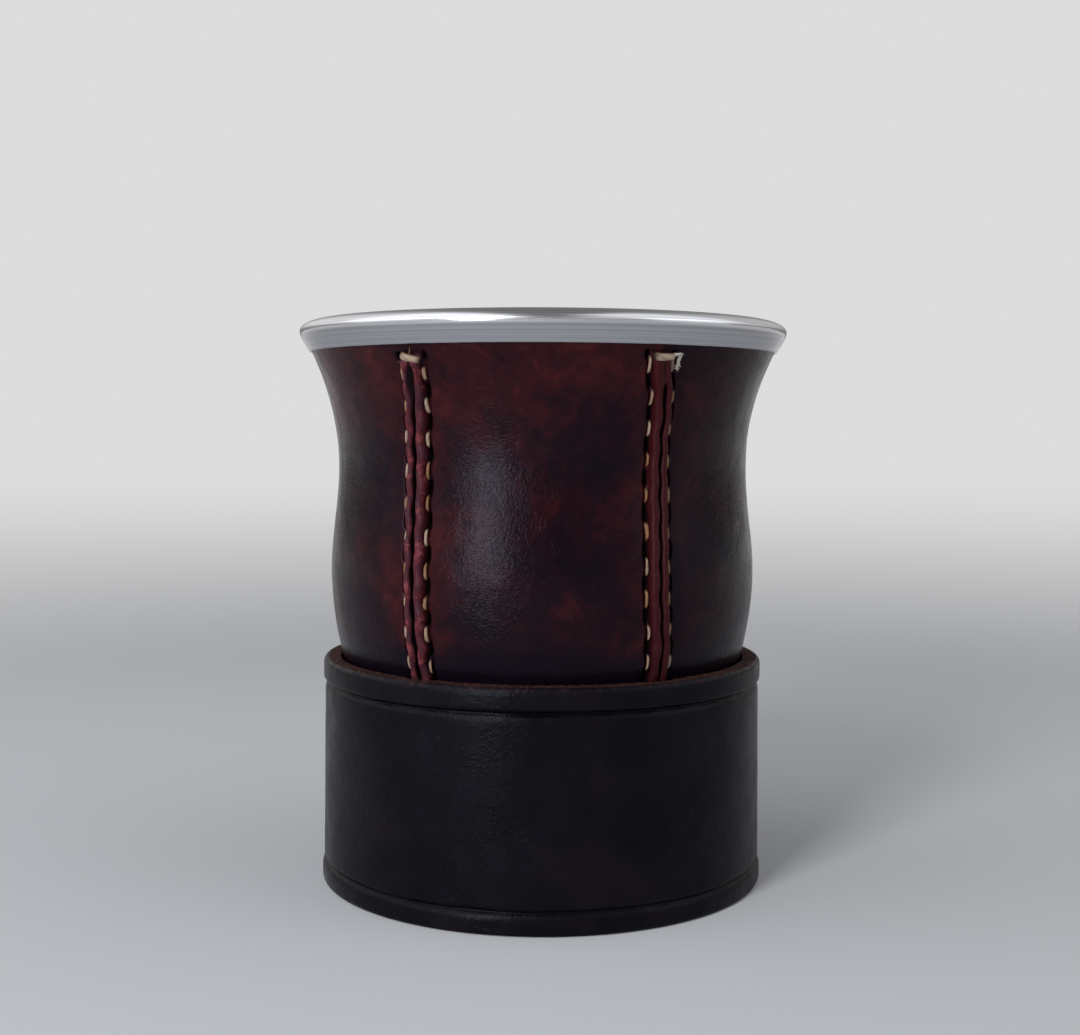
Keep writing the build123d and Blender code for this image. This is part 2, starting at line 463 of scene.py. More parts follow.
panelStyle = {
    "rowStep": 0.27,
    "hiddenStep": 0.9,
    "innerStep": 3.0,
    "middleColumns": 40,
    "poleRadius": 0.6,
    "warmth": (1.0, 0.2, 0.7, 0.6, 0.75),  # how red each panel is dyed beside its seams and at the rim
    "warmReach": 7.0,
    "warmDrops": (6.0, 24.0),
    "shadeAboveStand": 2.2,  # painted shade: how dark the cover is made just above the ring stand, where the cup goes into it
    "shadeAboveStandHeights": (0.5, 6.5),
}


def panelRows():  # (drop, depth) round a panel's section, down its outside and up its inside
    rows = []
    drop = -cup["reach"]
    seen = dropAtHeight(standTop - 4)
    last = wallLength - panelStyle["poleRadius"]
    while drop < last:
        rows.append((drop, 0.0))
        drop += panelStyle["rowStep"] if drop < seen else panelStyle["hiddenStep"]
    rows.append((last, 0.0))
    count = round((last + cup["reach"]) / panelStyle["innerStep"])
    rows += [(mix(last, -cup["reach"], index / count), cup["leather"]) for index in range(count + 1)]
    return rows


def leatherPanel(seam, material):
    shape = bmesh.new()
    layers = newLayers(shape, "drop", "depth", "lip", "pit", "warm", "inner", "deep")
    shadeLow, shadeHigh = panelStyle["shadeAboveStandHeights"]
    loop = []
    for drop, depth in panelRows():
        radius, height = insetWall(depth, drop)
        vert = shape.verts.new((max(radius, panelStyle["poleRadius"]), 0, height))
        vert[layers["drop"]] = drop
        vert[layers["depth"]] = depth
        loop.append(vert)
    edges = [shape.edges.new((loop[index - 1], loop[index])) for index in range(len(loop))]
    near = lipColumns()
    lastColumn = len(near) - 1
    middle = panelStyle["middleColumns"]
    steps = 2 * lastColumn + middle
    sweep = radians(60)  # a plain wedge, which is then moved column by column into place
    bmesh.ops.spin(shape, geom=loop + edges, cent=(0, 0, 0), axis=(0, 0, 1), angle=sweep, steps=steps)
    openEdges = [edge for edge in shape.edges if edge.is_boundary]
    caps = bmesh.ops.holes_fill(shape, edges=openEdges, sides=0)["faces"]
    bmesh.ops.triangulate(shape, faces=caps)
    for vert in shape.verts:
        drop = vert[layers["drop"]]
        depth = vert[layers["depth"]]
        radius, height, outward, upward = wallAt(drop)
        column = round(atan2(vert.co.y, vert.co.x) / sweep * steps)
        reach = lateralRadius(drop)
        rise = lip = pit = inner = 0.0
        if column <= lastColumn or column >= steps - lastColumn:
            side = 1 if column <= lastColumn else -1
            ownSeam = seam if side > 0 else seam + 1
            across, liftShare, slitShare = near[column if side > 0 else steps - column]
            angle = seamAngle(ownSeam, drop) + lipAcross(ownSeam, side, across, drop) / reach
            if depth == 0:
                rise, lip, pit, inner = seamRelief(ownSeam, across, liftShare, slitShare, drop)
        else:
            ownSeam = seam
            share = (column - lastColumn) / middle
            edge = near[-1][0]
            low = seamAngle(seam, drop) + lipAcross(seam, 1, edge, drop) / reach
            high = seamAngle(seam + 1, drop) + lipAcross(seam + 1, -1, edge, drop) / reach
            angle = mix(low, high, share)
        if depth == 0:
            rise += coverRelief(angle, drop)
        radius = max(radius + outward * (rise - depth), panelStyle["poleRadius"] * 0.5)
        vert.co = (radius * cos(angle), radius * sin(angle), height + upward * (rise - depth))
        besideSeam = min(abs(angle - seamAngle(seam, drop)), abs(angle - seamAngle(seam + 1, drop))) * reach
        nearRim = 1 - smoothStep(*panelStyle["warmDrops"], drop)
        # red dye beside the seams and at the rim; below, the painted shade above the stand is taken off it
        warm = max(hump(besideSeam, 0, panelStyle["warmReach"]), nearRim)
        # painted shade on the cover just above the ring stand, where the cup sits in it, taken off the dye
        # value
        shadedShare = 1 - smoothStep(standTop + shadeLow, standTop + shadeHigh, vert.co.z)
        vert[layers["warm"]] = warm * panelStyle["warmth"][seam] - panelStyle["shadeAboveStand"] * shadedShare
        vert[layers["lip"]] = lip
        # painted shade in the pits, deep in the slit and on unlit inner sides
        vert[layers["pit"]] = pit
        # painted light on the lips' inner sides where the open slit lets light in
        vert[layers["inner"]] = inner
        vert[layers["deep"]] = habitsOf(ownSeam)["deep"]
    name = f"leatherPanel{seam + 1}"
    makePiece(name, shape, material, "cover_leather", f"leather_panel_{seam + 1}")


def seamRelief(seam, across, liftShare, slitShare, drop):  # the rise, then the lip value, the painted shade in the pits, the slit and the unlit inner sides, and the painted light on inner sides where the slit opens
    fullRise = lipRise(seam, drop)
    merged = mergedShare(seam, drop)
    middle = seamStyle["slitHalf"] + seamStyle["lipWidth"] / 2
    lift = liftShare
    if across < middle:
        lift = mix(lift, 1.0, 0.97 * merged)
    swell = habitsOf(seam)["bulge"] * stitchPhase(seam, drop)
    crest = 1 - swell + seamStyle["crestUneven"] * seamWobble(seam, 21, drop / 0.8, across)
    rise = fullRise * lift * crest
    fade = fullRise / seamStyle["lipHeight"]
    rise -= seamStyle["slitDepth"] * slitShare * fade * (1 - merged)
    # the pits' share shapes the hollows and is also painted dark as shade
    pit = pitShare(seam, across, drop)
    groove = 0.25 * hump(across, seamStyle["rowOffset"], 0.5) * fade
    if liftShare < 0.99 or across > middle:
        rise -= seamStyle["pitDepth"] * pit * (1 - liftShare) + groove * (1 - liftShare)
    rise -= 0.12 * hump(across, 3.2, 1.0) * fade
    lip = smoothStep(0.0, 0.6, liftShare) * fade
    flank = 0.0  # a lip's side that faces the slit
    if across < seamStyle["slitHalf"] + 0.35:
        flank = (1 - smoothStep(0.4, 0.9, liftShare)) * fade
    lit = min(2.3 * habitsOf(seam)["open"] * hump(drop, seamStyle["openDrop"], 6), 1.0)  # light gets in here
    # painted shade deep in the slit and on the lips' inner sides where no light gets in
    slitShade = max(slitShare**2 * fade, flank * (1 - lit) * (1 - merged))
    # painted light on the inner sides where the slit opens
    return rise, min(lip, 1.0), max(smoothStep(0.12, 0.55, pit), slitShade), flank * lit


threadStyle = {
    "length": 3.15,
    "width": 0.62,
    "height": 0.16,
    "sides": 10,
    "rings": 16,
    "ply": 0.05,  # how far the two plies stand out of the round
    "twist": 0.8,  # radians for each millimetre
    "bury": 0.5,  # how far a stitch's ends dip
    "blunt": 5,  # of a stitch's ends, where 2 is round
    "uneven": {  # the least and greatest of each stitch's own values
        "across": (-0.1, 0.12),
        "down": (-0.25, 0.25),
        "turn": (-5, 5),
        "length": (0.8, 1.12),
        "width": (0.72, 1.16),
    },
    "barLength": 4.1,
    "barWidth": 1.25,
    "barLift": 0.45,
    "barBlunt": 16,
    "barTint": 0.1,
    "fibreSeam": 0,
}


def addStitch(shape, place, length, width, twistStart, bury, blunt, tint, layers):
    made = bmesh.ops.create_uvsphere(
        shape, u_segments=threadStyle["sides"], v_segments=threadStyle["rings"], radius=1.0
    )["verts"]
    for vert in made:
        share = 1 - 2 * acos(max(-1, min(1, vert.co.z))) / pi  # -1 to 1, evenly along the stitch
        onSphere = atan2(vert.co.y, vert.co.x)
        plies = cos(2 * onSphere)  # 1 on each ply's crest, -1 between them
        around = onSphere + twistStart + threadStyle["twist"] * share * length / 2
        thick = width / 2 * (1 - abs(share) ** blunt) ** 0.6 * (1 + threadStyle["ply"] * plies)
        vert.co = (share * length / 2, thick * cos(around), thick * sin(around) - bury * abs(share) ** 3)
        # how near a stitch's end is, where it dips into its hole and shade is painted
        vert[layers["end"]] = abs(share) ** 3
        vert[layers["tint"]] = tint
        # how far round to the stitch's side and underside, where shade is painted
        vert[layers["flank"]] = 0.5 - 0.5 * sin(around)
        vert[layers["ply"]] = 0.5 + 0.5 * plies
    bmesh.ops.transform(shape, matrix=place, verts=made)


def seamPlace(seam, drop, across, height, slope=0.0):  # X runs down the seam, Y across it, Z outwards
    radius, wallHeight, outward, upward = wallAt(drop)
    angle = seamAngle(seam, drop) + across / lateralRadius(drop)
    out = Vector((outward * cos(angle), outward * sin(angle), upward))
    side = Vector((-sin(angle), cos(angle), 0))
    down = side.cross(out)
    origin = Vector((radius * cos(angle), radius * sin(angle), wallHeight)) + out * height
    turn = Matrix((down, side, out)).transposed().to_4x4()
    return Matrix.Translation(origin) @ turn @ Matrix.Rotation(radians(slope), 4, "Z")


def addStrand(shape, place, points, thickness, tint, layers):  # a loose fibre through a few points
    line = bpy.data.curves.new("fibre", "CURVE")
    line.dimensions = "3D"
    line.bevel_depth = thickness / 2
    line.bevel_resolution = 1
    line.use_fill_caps = True
    spline = line.splines.new("NURBS")
    spline.points.add(len(points) - 1)
    for point, target in zip(spline.points, points):
        point.co = (*(place @ Vector(target)), 1)
    spline.order_u = 3
    spline.use_endpoint_u = True
    spline.resolution_u = 4
    holder = bpy.data.objects.new("fibre", line)
    mesh = bpy.data.meshes.new_from_object(holder)
    before = set(shape.verts)
    shape.from_mesh(mesh)
    values = {"end": 0.0, "tint": tint, "flank": 0.0, "ply": 0.8}
    for vert in set(shape.verts) - before:
        for layer, value in values.items():
            vert[layers[layer]] = value
    bpy.data.objects.remove(holder)
    bpy.data.meshes.remove(mesh)


knotStyle = {
    "seam": 1,
    "strands": (  # each one's points, thickness and tint, which is below 0 for the frayed tone
        ([(-0.5, 1.7, 0.0), (-0.7, 2.5, 0.1), (-0.1, 2.9, -0.1), (0.6, 2.75, -0.2),
          (1.3, 3.1, -0.35), (2.2, 3.1, -0.5)], 0.42, -0.3),
        ([(-0.2, 1.9, 0.1), (-0.9, 2.7, 0.2), (-0.5, 3.2, 0.0), (0.5, 3.1, -0.1),
          (1.5, 2.9, -0.2), (2.5, 3.4, -0.5)], 0.24, -0.6),
    ),
    "fineFibres": 24,
    "fine": (0.09, -0.6),  # the fine fibres' thickness and tint
}


def frayedKnot(shape, place, layers):  # the loose end at the right of one bar
    for points, thickness, tint in knotStyle["strands"]:
        addStrand(shape, place, points, thickness, tint, layers)
    draw = random.Random(41)
    for index in range(knotStyle["fineFibres"]):
        start = Vector((draw.uniform(-0.8, 2.4), draw.uniform(2.7, 3.1), draw.uniform(-0.4, 0.0)))
        middle = start + Vector((draw.uniform(-0.3, 0.5), draw.uniform(-0.3, 0.4), draw.uniform(0, 0.3)))
        end = middle + Vector((draw.uniform(-0.4, 0.6), draw.uniform(-0.3, 0.5), draw.uniform(-0.4, 0.1)))
        addStrand(shape, place, [start, middle, end], *knotStyle["fine"], layers)


def seamThread(seam, material):
    shape = bmesh.new()
    layers = newLayers(shape, "end", "tint", "flank", "ply")
    uneven = threadStyle["uneven"]
    bury = threadStyle["bury"]
    draw = random.Random(100 + seam)
    drop = seamStyle["firstStitch"]
    lastDrop = wallLength - seamStyle["endRadius"] - threadStyle["length"]
    while drop < lastDrop:
        for side in (-1, 1):
            across = seamStyle["rowOffset"] + draw.uniform(*uneven["across"])
            down = drop + stitchSlip(seam, drop) + draw.uniform(*uneven["down"])
            beside = lipAcross(seam, side, across, down)
            place = seamPlace(seam, down, beside, threadStyle["height"], draw.uniform(*uneven["turn"]))
            length = threadStyle["length"] * draw.uniform(*uneven["length"])
            width = threadStyle["width"] * draw.uniform(*uneven["width"])
            twistStart = draw.uniform(0, pi)
            tint = draw.uniform(0, 1)
            addStitch(shape, place, length, width, twistStart, bury, threadStyle["blunt"], tint, layers)
        drop += seamStyle["pitch"]
    bar, barAcross, slope = habitsOf(seam)["bar"]
    barHeight = lipRise(seam, bar) + threadStyle["barLift"]
    length = threadStyle["barLength"]
    width = threadStyle["barWidth"]
    place = seamPlace(seam, bar, barAcross, barHeight, 90 + slope)
    addStitch(shape, place, length, width, 0.4, bury, threadStyle["barBlunt"], threadStyle["barTint"], layers)
    place = seamPlace(seam, bar, 0.0, barHeight)
    if seam == knotStyle["seam"]:
        frayedKnot(shape, place, layers)
    if seam == threadStyle["fibreSeam"]:
        addStrand(shape, place, [(-0.2, 0.3, 0.0), (-0.9, 0.35, -0.4), (-1.6, 0.3, -0.7)], 0.08, 0.5, layers)
    name = f"seamThread{seam + 1}"
    makePiece(name, shape, material, "thread", f"seam_thread_{seam + 1}")


gourdStyle = {"steps": 192, "rowStep": 1.0}


def gourdShell(material):
    inset = cup["leather"] + cup["fit"]
    count = round((wallLength + cup["reach"]) / gourdStyle["rowStep"])
    drops = [mix(-cup["reach"], wallLength, index / count) for index in range(count)]
    inner = inset + cup["gourd"]
    profile = [(0, insetWall(inner, wallLength)[1])]  # from the inside's pole, over the top, to the outside's
    profile += [insetWall(inner, drop) for drop in reversed(drops)]
    profile += [insetWall(inset, drop) for drop in drops]
    profile.append((0, insetWall(inset, wallLength)[1]))
    shape = spunShape(profile, gourdStyle["steps"], closed=False)
    bmesh.ops.remove_doubles(shape, verts=shape.verts, dist=0.002)
    makePiece("gourdShell", shape, material, "gourd", "gourd_shell")


rimStyle = {
    "steps": 320,
    "rowStep": 0.22,
    "edgeThickness": 0.5,
    "edgeToWidest": 3.7,
    "crownInset": 4.5,
    "sleeveThickness": 0.8,
    "flankSteps": 18,
    "flankLean": 0.45,  # the side's slope where it leaves the edge
}


def rimCollar(material):
    mouth = cup["mouthRadius"]
    edgeOut = mouth + rimStyle["edgeThickness"]
    widest = rimEdge + rimStyle["edgeToWidest"]
    crown = rimRadius - rimStyle["crownInset"]
    sleeveOut = cup["leather"] + cup["gourd"] + 2 * cup["fit"]
    sleeveIn = sleeveOut + rimStyle["sleeveThickness"]
    mouthIn = insetWall(sleeveIn, 0)
    wallOut = mouth + cup["fit"]
    slotTop = rimEdge + cup["reach"] + cup["fit"]
    rows = lineRows((wallOut, slotTop), (wallOut, rimEdge + 0.08), 1.0)
    rows += arcRows((mouth + 0.28, rimEdge + 0.22), (0.24, 0.22), 200, 320, 6)
    for index in range(rimStyle["flankSteps"]):  # a cubic from the edge's slope to upright at the widest
        share = index / rimStyle["flankSteps"]
        lean = rimStyle["flankLean"] * (share**3 - 2 * share**2 + share) * rimStyle["edgeToWidest"]
        radius = mix(edgeOut, rimRadius, 3 * share**2 - 2 * share**3) + lean
        rows.append((radius, mix(rimEdge + 0.1, widest, share)))
    rows += arcRows((crown, widest), (rimRadius - crown, rimTop - widest), 0, 90, 26)
    rows += arcRows((crown, mouthIn[1]), (crown - mouthIn[0], rimTop - mouthIn[1]), 90, 180, 30)
    depth = cup["sleeveDepth"]
    count = round(depth / rimStyle["rowStep"] / 2)
    inner = [insetWall(sleeveIn, depth * index / count) for index in range(count + 1)]
    outer = [insetWall(sleeveOut, depth * (1 - index / count)) for index in range(count + 1)]
    rows += inner[1:] + outer
    rows += lineRows((outer[-1][0], outer[-1][1] + 0.3), (outer[-1][0], slotTop), 1.0)
    rows += lineRows((outer[-1][0], slotTop), (wallOut, slotTop), 2.0)
    shape = spunShape(rows, rimStyle["steps"])
    makePiece("rimCollar", shape, material, "rim_metal", "rim_collar")


standStyle = {
    "steps": 400,
    "rowStep": 0.36,
    "grooveStep": 0.12,
    "wall": 2.0,
    "flare": 0.3,
    "bandProud": 0.3,
    "lowBand": 3.9,  # the lower groove above the foot, and the upper one below the top
    "highBand": 4.4,
    "grooveDepth": 0.62,
    "grooveWidth": 0.4,
    "outerRound": 1.15,
    "outerTurn": 62,  # degrees, where the top's outer round ends and its flat begins
    "innerRound": 0.35,
    "footRound": 0.7,
    "leanFrom": 3.0,  # below this the bore is upright, above it the top leans in to the cup
    "leanGap": 0.3,
}


def standOutside(height):  # the radius, before the grooves
    share = height / standTop
    highGroove = standTop - standStyle["highBand"]
    foot = standBox[1].x / mm - standStyle["bandProud"]
    radius = mix(foot, foot - standStyle["flare"], share)
    radius += standStyle["bandProud"] * (1 - smoothStep(0, 1.1, height - standStyle["lowBand"] + 0.5))
    radius += standStyle["bandProud"] * smoothStep(0, 0.8, height - highGroove)
    return radius


def grooveAt(height, angle):  # how deep the two pressed lines are
    wander = 0.16 * wobble(12, cos(angle) * 3, sin(angle) * 3)
    depth = 0
    for index, centre in enumerate((standStyle["lowBand"], standTop - standStyle["highBand"])):
        uneven = 1 + 0.35 * wobble(13 + index, cos(angle) * 9, sin(angle) * 9)
        offset = height - centre - wander
        width = standStyle["grooveWidth"] * (1.0 if offset > 0 else 1.5)
        depth += standStyle["grooveDepth"] * uneven * exp(-abs(offset / width) ** 1.5)
    return depth


def standRows():
    foot = standOutside(0)
    top = standOutside(standTop)
    bore = foot - standStyle["bandProud"] - standStyle["flare"] - standStyle["wall"]
    footRound = standStyle["footRound"]
    outer = standStyle["outerRound"]
    turn = standStyle["outerTurn"]
    inner = standStyle["innerRound"]
    rows = lineRows((bore, standTop - inner), (bore, inner), 1.2)
    rows += arcRows((bore + inner, inner), (inner, inner), 180, 270, 4)
    rows += lineRows((bore + inner, 0), (foot - footRound, 0), 0.5)
    rows += arcRows((foot - footRound, footRound), (footRound, footRound), -90, 0, 7)
    height = footRound
    while height < standTop - outer:
        rows.append((standOutside(height), height))
        close = min(abs(height - standStyle["lowBand"]), abs(height - standTop + standStyle["highBand"]))
        height += standStyle["grooveStep"] if close < 1.3 else standStyle["rowStep"]
    rows += arcRows((top - outer, standTop - outer), (outer, outer), 0, turn, 10)
    start = (top - outer + outer * cos(radians(turn)), standTop - outer + outer * sin(radians(turn)))
    rows += lineRows(start, (bore + inner, standTop), 0.12)
    rows += arcRows((bore + inner, standTop - inner), (inner, inner), 90, 180, 4)
    return rows, bore


def cupReach(angle, drop):  # how far the cup and its seams stand out beside the ring's top
    radius = wallAt(drop)[0]
    reach = 0
    for seam in range(seamCount):
        turn = (angle - seamAngle(seam, drop) + pi) % (2 * pi) - pi
        reach = max(reach, hump(turn * radius, 0, 3.0, 6))
    return radius + standStyle["leanGap"] + reach * seamStyle["lipLow"]


def ringStand(material):
    rows, bore = standRows()
    topDrop = dropAtHeight(standTop)
    shape = spunShape(rows, standStyle["steps"])
    layers = newLayers(shape, "raw", "groove")
    for vert in shape.verts:
        angle = atan2(vert.co.y, vert.co.x)
        radius = hypot(vert.co.x, vert.co.y)
        height = vert.co.z
        outside = smoothStep(bore + 1.0, bore + 1.9, radius)
        upper = smoothStep(standTop - 0.55, standTop - 0.05, height)
        raw = upper * (1 - smoothStep(bore + 1.25, bore + 1.75, radius + 0.25 * wobble(15, angle * 9)))
        groove = grooveAt(height, angle) * outside * smoothStep(0.8, 1.5, height)
        slow = 0.16 * wobble(16, cos(angle) * 2.3, sin(angle) * 2.3, height / 20)
        quick = 0.03 * wobble(17, cos(angle) * 12, sin(angle) * 12, height / 3)
        newRadius = radius + (slow + quick) * outside * smoothStep(0, 2, height) - groove
        lean = smoothStep(standTop - standStyle["leanFrom"], standTop - 0.2, height)
        lean *= 1 - smoothStep(bore, bore + 1.7, radius)  # the outside stays put
        newRadius -= lean * max(bore - cupReach(angle, topDrop), 0)
        newHeight = height + 0.12 * wobble(18, cos(angle) * 2.5, sin(angle) * 2.5) * upper
        newHeight -= raw * abs(0.16 * wobble(19, cos(angle) * 30, sin(angle) * 30, radius * 1.4))
        newHeight = min(newHeight, standTop)
        vert.co = (newRadius * cos(angle), newRadius * sin(angle), newHeight)
        rubbed = hump(height, standTop - 0.3, 0.45) * max(wobble(20, cos(angle) * 40, sin(angle) * 40), 0)
        vert[layers["raw"]] = min(raw + 0.9 * rubbed * outside, 1.0)
        # also the share of painted shade in the grooves
        vert[layers["groove"]] = min(groove / standStyle["grooveDepth"], 1.0)
    makePiece("ringStand", shape, material, "stand_leather", "ring_stand")


coverTones = {
    "black": (0.0048, 0.002, 0.0052),
    "burgundy": (0.0115, 0.0024, 0.005),
    "redBrown": (0.03, 0.0048, 0.0062),
    "red": (0.07, 0.0105, 0.0105),
    "lip": (0.08, 0.0105, 0.0135),
    "lipGrey": (0.06, 0.0165, 0.0245),
    "lipPale": (0.21, 0.05, 0.055),
    "lipDeep": (0.038, 0.0042, 0.0046),
    # painted light: the lips' inner sides where the open slit lets light in
    "inner": (0.034, 0.022, 0.034),
    # painted shade: near black in the pits between stitches, deep in the slit and on unlit inner sides
    "pit": (0.0026, 0.001, 0.0009),
    "speck": (0.3, 0.24, 0.24),
}
coverFinish = {
    "warmth": 0.15,  # how far the dye value shifts the tone, towards red where dyed and towards black where shade is painted above the stand
    "deepShare": 0.92,
    "speckSpacing": 4.5,
    "levelCreases": 0.36,
    "uprightCreases": 0.4,
    "grainDepth": 0.036,
    "foldDepth": 0.35,
    "roughness": (0.2, 0.29),
    "gloss": 0.11,
    "glossTint": (0.94, 0.87, 1.0, 1),
}


def wrinkles(shade, stretch, spacing, wave):  # wavy creases between soft ridges
    field = noiseOf(shade, objectPlace(shade, stretch), 0.5 / spacing, 1.5, 0.5, wave)
    return between(shade, shade.maths("ABSOLUTE", field - 0.5), 0.0, 0.17)


def specks(shade, place, spacing, share):  # a few tiny dots
    cells = {"Vector": place, "Scale": 1 / spacing}
    distance = shade.node("ShaderNodeTexVoronoi", {}, cells)
    colour = shade.node("ShaderNodeTexVoronoi", {}, cells, output=1)
    chosen = between(shade, shade.node("ShaderNodeSeparateColor", {}, {0: colour}), 1 - share, 1.002 - share)
    return chosen * between(shade, distance, 0.02, 0.045, 1, 0)


def makeCoverLeather():
    material, shade = newMaterial("coverLeather")
    place = objectPlace(shade)
    names = ("lip", "pit", "warm", "inner", "deep")
    lip, pit, warm, inner, deep = (attributeOf(shade, name) for name in names)
    clouds = noiseOf(shade, place, 0.06, 4, 0.6, 0.4)
    blots = noiseOf(shade, place, 0.2, 6, 0.72, 0.8)
    # the ramp's input holds the red dye and, pushing the tone to black, the painted shade just above the
    # stand
    tone = shade.node("ShaderNodeValToRGB", {"stops": [
        (0.38, coverTones["black"]), (0.5, coverTones["burgundy"]),
        (0.62, coverTones["redBrown"]), (0.76, coverTones["red"]),
    ]}, {"Fac": clouds * 0.5 + blots * 0.5 + warm * coverFinish["warmth"] - 0.03})
    bruises = noiseOf(shade, place, 0.45, 4, 0.6, 0.5)
    rubbed = between(shade, bruises, 0.42, 0.6)
    lipTone = blendColours(shade, rubbed, coverTones["lipGrey"], coverTones["lip"])
    lipTone = blendColours(shade, between(shade, bruises, 0.5, 0.68), lipTone, coverTones["lipPale"])
    lipTone = blendColours(shade, deep * coverFinish["deepShare"], lipTone, coverTones["lipDeep"])
    tone = blendColours(shade, lip * between(shade, blots, 0.2, 0.55, 0.6, 1.0), tone, lipTone)
    # painted light on the lips' inner sides where the slit opens
    tone = blendColours(shade, inner, tone, coverTones["inner"])
    # painted shade in the pits, the slit and the unlit inner sides
    tone = blendColours(shade, between(shade, pit, 0.1, 0.8), tone, coverTones["pit"])
    dots = specks(shade, place, coverFinish["speckSpacing"], 0.06)
    tone = blendColours(shade, dots * (1 - pit), tone, coverTones["speck"])
    level = wrinkles(shade, (0.65, 0.65, 1.3), coverFinish["levelCreases"], 0.8)
    upright = wrinkles(shade, (1.3, 1.3, 0.65), coverFinish["uprightCreases"], 0.8)
    turn = between(shade, noiseOf(shade, place, 0.08, 2) + warm * 0.15, 0.4, 0.6)
    creases = level * turn + upright * (1 - turn)
    pebbles = noiseOf(shade, place, 1.5, 3, 0.6)
    folds = noiseOf(shade, objectPlace(shade, (1, 1, 0.6)), 0.35, 3, 0.5, 0.8)
    normal = bumped(shade, creases * 0.55 + pebbles * 0.45, coverFinish["grainDepth"], 0.9)
    normal = bumped(shade, folds, coverFinish["foldDepth"], 0.2, normal)
    roughness = between(shade, noiseOf(shade, place, 0.3, 3), 0.25, 0.75, *coverFinish["roughness"])
    roughness = roughness + lip * 0.05 + lip * deep * 0.14 + pit * 0.4
    finishLeather(shade, coverFinish, tone, roughness, normal)
    return material


standTones = {
    "black": (0.0028, 0.0024, 0.004),
    "worn": (0.007, 0.0046, 0.0078),
    "raw": (0.03, 0.0105, 0.008),
    "rawPale": (0.13, 0.068, 0.055),
    # painted shade in the pressed grooves
    "groove": (0.0012, 0.001, 0.0012),
    "speck": (0.12, 0.11, 0.12),
}
standFinish = {
    "speckSpacing": 4.0,
    "uprightCreases": 0.42,
    "levelCreases": 0.46,
    "grainDepth": 0.042,
    "fibreDepth": 0.3,  # on the raw top
    "roughness": (0.26, 0.37),
    "gloss": 0.085,
    "glossTint": (0.86, 0.9, 1.0, 1),
}


def makeStandLeather():
    material, shade = newMaterial("standLeather")
    place = objectPlace(shade)
    raw = attributeOf(shade, "raw")
    groove = attributeOf(shade, "groove")
    clouds = noiseOf(shade, place, 0.07, 5, 0.65, 0.5)
    tone = blendColours(shade, between(shade, clouds, 0.35, 0.7), standTones["black"], standTones["worn"])
    fibres = noiseOf(shade, place, 1.1, 4, 0.7)
    paleFibres = between(shade, fibres, 0.45, 0.75)
    rawTone = blendColours(shade, paleFibres, standTones["raw"], standTones["rawPale"])
    tone = blendColours(shade, raw, tone, rawTone)
    # painted shade in the pressed grooves
    tone = blendColours(shade, groove * 0.8, tone, standTones["groove"])
    dots = specks(shade, place, standFinish["speckSpacing"], 0.06)
    tone = blendColours(shade, dots, tone, standTones["speck"])
    upright = wrinkles(shade, (1.4, 1.4, 0.55), standFinish["uprightCreases"], 0.7)
    level = wrinkles(shade, (0.75, 0.75, 1.2), standFinish["levelCreases"], 0.8)
    turn = between(shade, noiseOf(shade, place, 0.07, 2), 0.35, 0.55)
    pebbles = noiseOf(shade, place, 1.1, 3, 0.6)
    creases = upright * turn + level * (1 - turn)
    normal = bumped(shade, creases * 0.6 + pebbles * 0.4, standFinish["grainDepth"], 0.9)
    normal = bumped(shade, fibres * raw, standFinish["fibreDepth"], 0.9, normal)
    roughness = between(shade, noiseOf(shade, place, 0.22, 3), 0.25, 0.75, *standFinish["roughness"])
    finishLeather(shade, standFinish, tone, roughness + raw * 0.4, normal)
    return material


rimFinish = {
    "greyStreaks": (0.54, 0.54, 0.56),
    "paleStreaks": (0.86, 0.86, 0.88),
    "dimReflection": (0.5, 0.5, 0.53),  # painted reflection: darkens the metal below the widest point, standing in for a darker reflection there
    "dimReflectionShare": 0.66,
    "dimReflectionHeights": (2.4, 4.0),  # above the rim's lower edge, where the painted darker band fades out
    "roughness": (0.13, 0.26),
    "brushDepth": 0.04,
}


def makeRimMetal():
    material, shade = newMaterial("rimMetal")
    place = objectPlace(shade)
    height = shade.node("ShaderNodeSeparateXYZ", {}, {0: place}, output=2)
    flat = shade.node("ShaderNodeVectorMath", {"operation": "MULTIPLY"}, {0: place, 1: (1, 1, 0)})
    radius = shade.node("ShaderNodeVectorMath", {"operation": "LENGTH"}, {0: flat}, output=1)
    line = shade.node("ShaderNodeCombineXYZ", {}, {0: radius, 1: height})
    rings = noiseOf(shade, line, 2.2, 4, 0.65)
    smears = noiseOf(shade, objectPlace(shade, (0.12, 0.12, 1.4)), 1.0, 3)
    streaks = between(shade, rings, 0.3, 0.7)
    tone = blendColours(shade, streaks, rimFinish["greyStreaks"], rimFinish["paleStreaks"])
    low, high = rimFinish["dimReflectionHeights"]
    # painted reflection: the metal below the widest point is darkened
    dimReflection = between(shade, height, rimEdge + low, rimEdge + high, rimFinish["dimReflectionShare"], 0)
    tone = blendColours(shade, dimReflection, tone, rimFinish["dimReflection"], "MULTIPLY")
    finishMaterial(shade, {
        "Base Color": tone,
        "Metallic": 1.0,
        "Roughness": between(shade, rings * 0.5 + smears * 0.5, 0.3, 0.7, *rimFinish["roughness"]),
        "Normal": bumped(shade, rings, rimFinish["brushDepth"], 0.5),
    })
    return material


gourdTones = {
    "brown": (0.3, 0.17, 0.085),
    "pale": (0.46, 0.3, 0.17),
    "fibre": (0.2, 0.11, 0.055),
}


